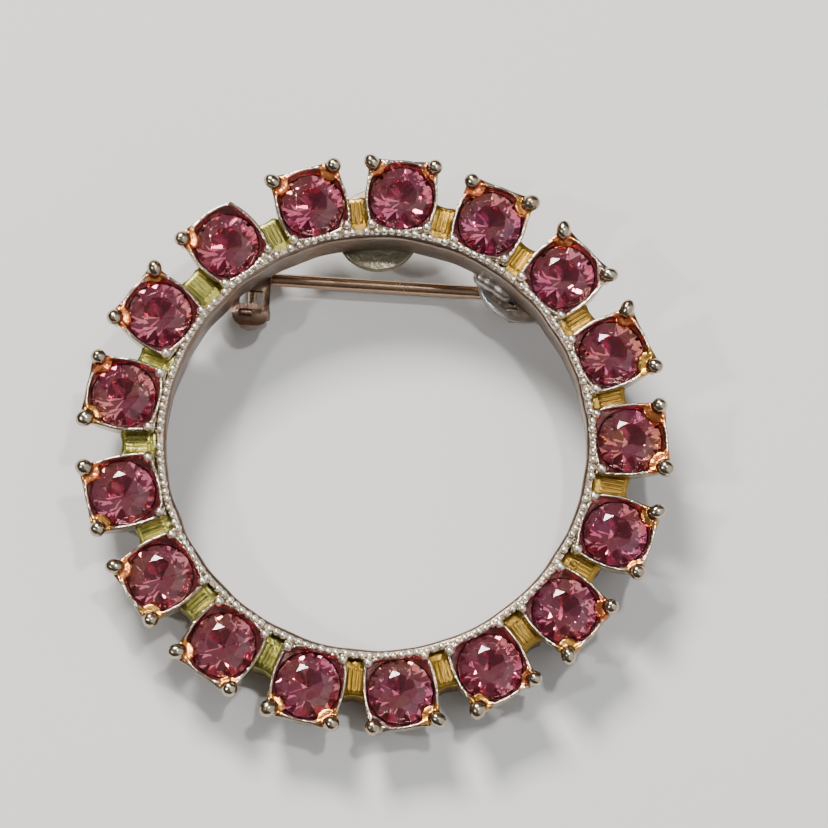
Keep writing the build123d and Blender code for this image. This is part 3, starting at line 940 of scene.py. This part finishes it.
class BROOCH_OT_hinge(bpy.types.Operator):
    """Model the hinge bracket with its window and two ears"""

    bl_idname = "brooch.hinge"
    bl_label = "Hinge bracket"

    def base(self):
        """The bracket's flat plate, rounded at its lower end."""
        low, high = LOWER_EAR_TOP - EAR_THICKNESS - 1.1, UPPER_EAR_BOTTOM + EAR_THICKNESS
        left, right = HINGE_X - BRACKET_HALF_WIDTH, HINGE_X + BRACKET_HALF_WIDTH
        plate = add_box("hinge_bracket", (left, low, -0.5), (right, high, 0.02))
        pick(plate)
        edit("DESELECT")
        leave_edit()
        points = [vertex.co.copy() for vertex in plate.data.vertices]
        for edge in plate.data.edges:
            first, second = (points[index] for index in edge.vertices)
            edge.select = abs(first.z - second.z) > 0.3 and first.y < low + 0.1
        bpy.ops.object.mode_set(mode="EDIT")
        bpy.ops.mesh.bevel(offset=1.05, segments=8)
        leave_edit()
        return plate

    def execute(self, context):
        plate = self.base()
        window_low = LOWER_EAR_TOP - 0.34
        window_high = window_low + 1.18
        cut(plate, add_box("window", (HINGE_X - 0.75, window_low, -1), (HINGE_X + 0.75, window_high, 1)))
        left, right = HINGE_X - BRACKET_HALF_WIDTH, HINGE_X + BRACKET_HALF_WIDTH
        for y in (LOWER_EAR_TOP - EAR_THICKNESS, UPPER_EAR_BOTTOM):
            eye = (HINGE_X, y + EAR_THICKNESS / 2, -PIN_BELOW_BACK)
            ear = add_box("ear", (left, y, -PIN_BELOW_BACK), (right, y + EAR_THICKNESS, -0.2))
            boolean(plate, ear, "UNION")
            disc = add_rod("ear_round", BRACKET_HALF_WIDTH, EAR_THICKNESS, "X", eye)
            boolean(plate, disc, "UNION")
            cut(plate, add_rod("ear_hole", 0.32, 2 * EAR_THICKNESS, "X", eye, 32))
        bevel(plate, 0.06, 2)
        bar = add_rod("bracket_bar", 0.25, 0.9, "Y", (HINGE_X - 0.3, window_low - 0.32, 0.05), 20)
        bracket = join("hinge_bracket", [plate, bevel(bar, 0.1, 3)])
        mark(bracket, "grime", 0.15)
        hand_over(soften(bracket, 40), "bracket")
        return {"FINISHED"}


class BROOCH_OT_catch(bpy.types.Operator):
    """Model the catch's round patch and the shell that its lever turns in"""

    bl_idname = "brooch.catch"
    bl_label = "Catch"

    def patch(self, x, y):
        """The dished round patch, cut off where it would show outside the ring, with a pit in it."""
        patch = add_cylinder("catch_patch", PATCH_RADIUS, -0.5, 0.0, x, y, vertices=96)
        cut(patch, add_cylinder("patch_dish", 2.45, -0.07, 1.0, x, y, vertices=96, top_radius=6.0))
        boolean(patch, add_cylinder("patch_room", PATCH_EDGE_LIMIT, -1, 1, vertices=256), "INTERSECT")
        bevel(patch, 0.07, 4)
        pit = add_ball("patch_pit", 1.0, (0, 0, 0))
        place_piece(pit, scale=(0.42, 0.26, 0.3), turn=(0, 0, math.radians(-28)), at=(8.1, 10.55, -0.1))
        return cut(patch, pit)

    def ridge(self, x, y):
        """The raised ridge on the patch's edge, which carries a painted highlight."""
        deselect()
        bpy.ops.mesh.primitive_torus_add(
            major_segments=160, minor_segments=12, major_radius=RIDGE_RADIUS, minor_radius=0.1,
            location=(x, y, -0.02),
        )
        ridge = apply_place(new_piece("patch_ridge"))
        turn = math.radians(RIDGE_DIRECTION)
        x, y = x + RIDGE_RADIUS * math.cos(turn), y + RIDGE_RADIUS * math.sin(turn)
        return boolean(ridge, add_cylinder("sector", 0.66, -1, 1, x, y), "INTERSECT")

    def solder(self):
        """The solder that runs from the patch to the band."""
        uneven = rng("solder")
        lumps = []
        for clock in np.arange(*SOLDER_CLOCKS):
            at = clock_matrix(SOLDER_RADIUS, clock).translation
            at.z = 0.1
            lumps.append(add_ball("lump", uneven.uniform(0.5, 0.62), at, 16, 10))
        solder = remesh(join("solder", lumps), 0.07, smooth=12, keep_faces=6000)
        return boolean(solder, add_box("above", (0, 0, -0.4), (20, 20, 3.4)), "INTERSECT")

    def tab_room(self, middle):
        """The wedge that the lever's thumb tab turns in, a little wider than it is."""
        widening = 1.05
        deselect()
        bpy.ops.mesh.primitive_cylinder_add(vertices=3, radius=4.2, depth=1.3)
        room = place_piece(new_piece("tab_room"), turn=(0, math.radians(90), 0))
        corner = max((vertex.co for vertex in room.data.vertices), key=lambda co: co.z)
        place_piece(room, at=middle - Vector((0, corner.y, corner.z)))
        return place_piece(room, scale=(1, widening, 1), at=(0, PIN_Y * (1 - widening), 0))

    def shell(self):
        """The fixed shell on its foot, bored for the lever and slotted for the pin."""
        middle = Vector((CATCH_X, PIN_Y, -PIN_BELOW_BACK))
        half_length = SHELL_LENGTH / 2
        shell = bevel(add_rod("catch_shell", SHELL_RADIUS, SHELL_LENGTH, "Y", middle), 0.4, 4)
        foot = add_box(
            "foot", (CATCH_X - half_length, PIN_Y - 0.75, -PIN_BELOW_BACK),
            (CATCH_X + half_length, PIN_Y + 0.75, -0.25),
        )
        boolean(shell, foot, "UNION")
        slot = add_box(
            "slot", (CATCH_X - 2, PIN_Y - SLOT_HALF_WIDTH, -PIN_BELOW_BACK - 2),
            (CATCH_X + 2, PIN_Y + SLOT_HALF_WIDTH, -PIN_BELOW_BACK),
        )
        bore = add_rod("bore", 0.95, 2.5, "Y", middle)
        slot_round = add_rod("slot_round", SLOT_HALF_WIDTH, 4.0, "Y", middle)
        cut(shell, bore, slot_round, slot, self.tab_room(middle))
        return bevel(shell, 0.05, 2)

    def execute(self, context):
        x, y = clock_matrix(PITCH_RADIUS - PATCH_INSET, PATCH_CLOCK).translation[:2]
        fold = bevel(add_rod("patch_fold", 0.17, 0.72, "Y", (8.15, 9.92, -0.12), 20), 0.08, 3)
        # Each piece, how much painted highlight it has, and how dirty it is
        parts = (
            (self.patch(x, y), 0, 0.12), (fold, 0, 0.12), (self.shell(), 0, 0.12), (self.ridge(x, y), 1, 0),
            (self.solder(), 0, 0.25),
        )
        for piece, polish, grime in parts:
            mark(piece, "polish", polish)
            mark(piece, "grime", grime)
        hand_over(soften(join("catch_fixed", [piece for piece, *_ in parts]), 40), "findings")
        return {"FINISHED"}


# Stones and the small moving parts

# Painted reflections: where each stone flashes orange and where violet: degrees anticlockwise from the
# brooch's right, and how strongly
STONE_FLASHES = [
    ((125, 0.35), (-95, 0.4)),
    ((115, 0.95), (-50, 0.95)),
    ((90, 0.55), (-115, 0.5)),
    ((50, 1.0), (-100, 0.5)),
    ((-5, 1.0), (100, 0.35)),
    ((75, 0.5), (-60, 0.6)),
    ((250, 0.35), (190, 0.45)),
    ((90, 0.35), (-60, 0.3)),
    ((105, 0.75), (-45, 0.6)),
    ((-50, 0.45), (215, 0.35)),
    ((115, 0.5), (-10, 0.1)),
    ((165, 0.45), (60, 0.1)),
    ((150, 0.6), (200, 0.4)),
    ((225, 0.5), (-60, 0.2)),
    ((20, 0.35), (-110, 0.35)),
    ((170, 0.4), (-80, 0.2)),
    ((115, 0.55), (-100, 0.3)),
]


def stone_material(name, centre, flashes):
    """Cut glass with a painted orange flash at one side and a painted violet flash at another."""
    finish = bpy.context.scene.brooch_finish
    material, tree, shader = new_material(name)
    place = node(tree, "ShaderNodeTexCoord").outputs["Object"]
    sources = {"Vector": place, "Location": centre, "Rotation": (LEAN, 0, 0)}
    local = node(tree, "ShaderNodeMapping", vector_type="TEXTURE")
    parts = node(tree, "ShaderNodeSeparateXYZ", {"Vector": fill(tree, local, sources).outputs["Vector"]})
    cells = node(tree, "ShaderNodeTexVoronoi", {"Vector": place, "Scale": 1700.0}).outputs["Color"]
    cell = node(tree, "ShaderNodeSeparateColor", {"Color": cells}).outputs["Red"]
    shade = mix_colour(tree, cell, tuple(finish.stone), tuple(finish.stone_light))
    for (direction, strength), flash_shade in zip(flashes, (finish.stone_edge, finish.stone_deep)):
        turn = math.radians(direction)
        along = math_node(tree, "MULTIPLY", parts.outputs["X"], math.cos(turn))
        along = math_node(tree, "MULTIPLY_ADD", parts.outputs["Y"], math.sin(turn), along)
        flash = map_range(tree, along, (0.0004, 0.0017), (0, strength))
        shade = mix_colour(tree, flash, shade, tuple(flash_shade))
    glass = {"Base Color": shade, "Roughness": 0.02, "Transmission Weight": 1.0, "IOR": 1.58}
    fill(tree, shader, glass)
    return material


def refinish(name, material):
    """Gives a CAD node another material in its slots."""
    for slot in frame["nodes"][name].material_slots:
        slot.material = material


class BROOCH_OT_stones(bpy.types.Operator):
    """Give every cut stone its glass"""

    bl_idname = "brooch.stones"
    bl_label = "Stones"

    def execute(self, context):
        for number, flashes in enumerate(STONE_FLASHES):
            centre = (LAY_DOWN @ seat_matrix(number) @ Vector((0, 0, STONE_HEIGHT))) / 1000
            glass = stone_material(f"Cut glass {number + 1:02d}", centre, flashes)
            refinish(f"stone_{number + 1:02d}", glass)
        return {"FINISHED"}


class BROOCH_OT_pin(bpy.types.Operator):
    """Model the pin's coiled wire and its point, and plate the rivet and the catch's lever"""

    bl_idname = "brooch.pin"
    bl_label = "Pin and lever"

    def execute(self, context):
        wire, bore, turns = 0.425, 0.35, 2
        tip, taper, point = CATCH_X + 2.3, 4.4, 0.08
        start = HINGE_X + bore + wire
        stem = add_cylinder("pin_wire", wire, start, tip - taper, vertices=40)
        cone = add_cylinder("pin_taper", wire, tip - taper, tip - point, vertices=40, top_radius=point)
        end = add_ball("pin_point", point, (0, 0, tip - point), 20, 12)
        parts = [lay(join("pin_straight", [stem, cone, end]), "Y", (0, PIN_Y, -PIN_BELOW_BACK))]
        for turn in range(turns):
            deselect()
            bpy.ops.mesh.primitive_torus_add(
                major_segments=64, minor_segments=24, major_radius=bore + wire, minor_radius=wire,
                rotation=(math.radians(90), 0, 0),
                location=(HINGE_X, PIN_Y + turn * wire * 2, -PIN_BELOW_BACK),
            )
            parts.append(apply_place(new_piece("pin_turn")))
        hand_over(soften(join("pin", parts), 40), "wire", "pin", ("pin_stem",))
        for name in ("hinge_rivet", "catch_lever"):
            refinish(name, MATERIALS["lever"])
        return {"FINISHED"}


# Stage


def camera_matrix():
    """The camera's place, worked out from how the ring's stones lie in the picture."""
    rx, ry, rz = (math.radians(turn) for turn in CAMERA_TURNS)
    seen = Matrix.Rotation(ry, 4, "Y") @ Matrix.Rotation(rx, 4, "X") @ Matrix.Rotation(rz, 4, "Z")
    stones = Matrix.Translation((0, 0, STONE_HEIGHT)) @ Matrix.Rotation(math.radians(-FIRST_CLOCK), 4, "Z")
    return LAY_DOWN @ stones @ seen.inverted() @ Matrix.Translation(CAMERA_OFFSET)


class BROOCH_OT_stage(bpy.types.Operator):
    """Add the floor, the soft lights, the sky and the camera"""

    bl_idname = "brooch.stage"
    bl_label = "Stage"

    def floor(self, stage):
        """A plain pale floor."""
        deselect()
        bpy.ops.mesh.primitive_plane_add(size=stage.floor_size)
        floor = new_piece("floor")
        material, tree, shader = new_material("Pale floor")
        cloudy = noise(tree, node(tree, "ShaderNodeTexCoord").outputs["Object"], 30.0, 3.0)
        base = tuple(stage.floor_colour)
        shade = mix_colour(tree, cloudy, tuple(part * 0.96 for part in base), base)
        fill(tree, shader, {"Base Color": shade, "Roughness": 0.7})
        floor.data.materials.append(material)

    def camera(self, scene):
        """The photograph's viewing angle."""
        seen = camera_matrix()
        place = seen.to_quaternion().to_matrix().to_4x4()
        place.translation = seen.translation / 1000
        bpy.ops.object.camera_add()
        camera = bpy.context.object
        camera.name = "camera"
        camera.matrix_world = place
        camera.data.sensor_width = SENSOR_WIDTH
        camera.data.lens = FOCAL_LENGTH * SENSOR_WIDTH
        camera.data.clip_start = 0.01
        camera.data.clip_end = 20
        scene.camera = camera

    def lights(self, power):
        """Each light's name, place, size, share of the main light's power and colour."""
        for name, at, size, share, tint in (
            ("key", (-0.16, 0.3, 0.42), 0.15, 1.0, (1.0, 0.97, 0.93)),
            ("fill", (0.4, -0.12, 0.34), 0.8, 0.35, (0.93, 0.96, 1.0)),
            ("spark", (0.1, 0.05, 0.5), 0.03, 0.2, (1, 1, 1)),
            ("glint", (-0.3, -0.12, 0.42), 0.03, 0.15, (1, 1, 1)),
        ):
            bpy.ops.object.light_add(type="AREA", location=at)
            light = bpy.context.object
            light.name = name
            light.data.size = size
            light.data.energy = power * share
            light.data.color = tint
            light.rotation_euler = (-Vector(at)).to_track_quat("-Z", "Y").to_euler()

    def sky(self, scene, strength):
        """Soft light from all round, stronger from above."""
        world = bpy.data.worlds.new("Soft studio")
        scene.world = world
        world.use_nodes = True
        tree = world.node_tree
        place = node(tree, "ShaderNodeTexCoord").outputs["Generated"]
        height = node(tree, "ShaderNodeSeparateXYZ", {"Vector": place}).outputs["Z"]
        stops = [(0.0, (0.12, 0.11, 0.1)), (0.45, (0.3, 0.29, 0.28)), (1.0, (0.75, 0.76, 0.78))]
        sky = {"Color": ramp(tree, height, stops), "Strength": strength}
        fill(tree, tree.nodes["Background"], sky)

    def execute(self, context):
        stage = context.scene.brooch_stage
        self.floor(stage)
        self.camera(context.scene)
        self.lights(stage.key_power)
        self.sky(context.scene, stage.sky)
        return {"FINISHED"}


class BROOCH_PT_panel(bpy.types.Panel):
    """The brooch's pieces and their sizes"""

    bl_label = "Rhinestone brooch"
    bl_idname = "BROOCH_PT_panel"
    bl_space_type = "VIEW_3D"
    bl_region_type = "UI"
    bl_category = "Brooch"

    def draw(self, context):
        for title, group in GROUPS.items():
            box = self.layout.box()
            box.label(text=title)
            settings = getattr(context.scene, group)
            for key in settings.bl_rna.properties.keys():
                if key not in ("rna_type", "name"):
                    box.prop(settings, key)
        for operator in OPERATORS:
            self.layout.operator(operator.bl_idname)


GROUPS = {
    "Cups": "brooch_cups",
    "Band and beads": "brooch_band",
    "Finish": "brooch_finish",
    "Stage": "brooch_stage",
}
PROPERTIES = (BROOCH_PG_cups, BROOCH_PG_band, BROOCH_PG_finish, BROOCH_PG_stage)
OPERATORS = (
    BROOCH_OT_stage,
    BROOCH_OT_stones,
    BROOCH_OT_pin,
    BROOCH_OT_cups,
    BROOCH_OT_band,
    BROOCH_OT_beads,
    BROOCH_OT_links,
    BROOCH_OT_plate,
    BROOCH_OT_hinge,
    BROOCH_OT_catch,
)


def register():
    for one in (*PROPERTIES, *OPERATORS, BROOCH_PT_panel):
        bpy.utils.register_class(one)
    for name, properties in zip(GROUPS.values(), PROPERTIES):
        setattr(bpy.types.Scene, name, PointerProperty(type=properties))


def unregister():
    for name in GROUPS.values():
        delattr(bpy.types.Scene, name)
    for one in reversed((*PROPERTIES, *OPERATORS, BROOCH_PT_panel)):
        bpy.utils.unregister_class(one)


def main():
    register()
    make_materials()
    bpy.ops.brooch.stage()
    bpy.ops.brooch.stones()
    bpy.ops.brooch.pin()
    bpy.ops.brooch.cups()
    bpy.ops.brooch.band()
    bpy.ops.brooch.beads()
    bpy.ops.brooch.links()
    bpy.ops.brooch.plate()
    bpy.ops.brooch.hinge()
    bpy.ops.brooch.catch()


if __name__ == "__main__":
    main()
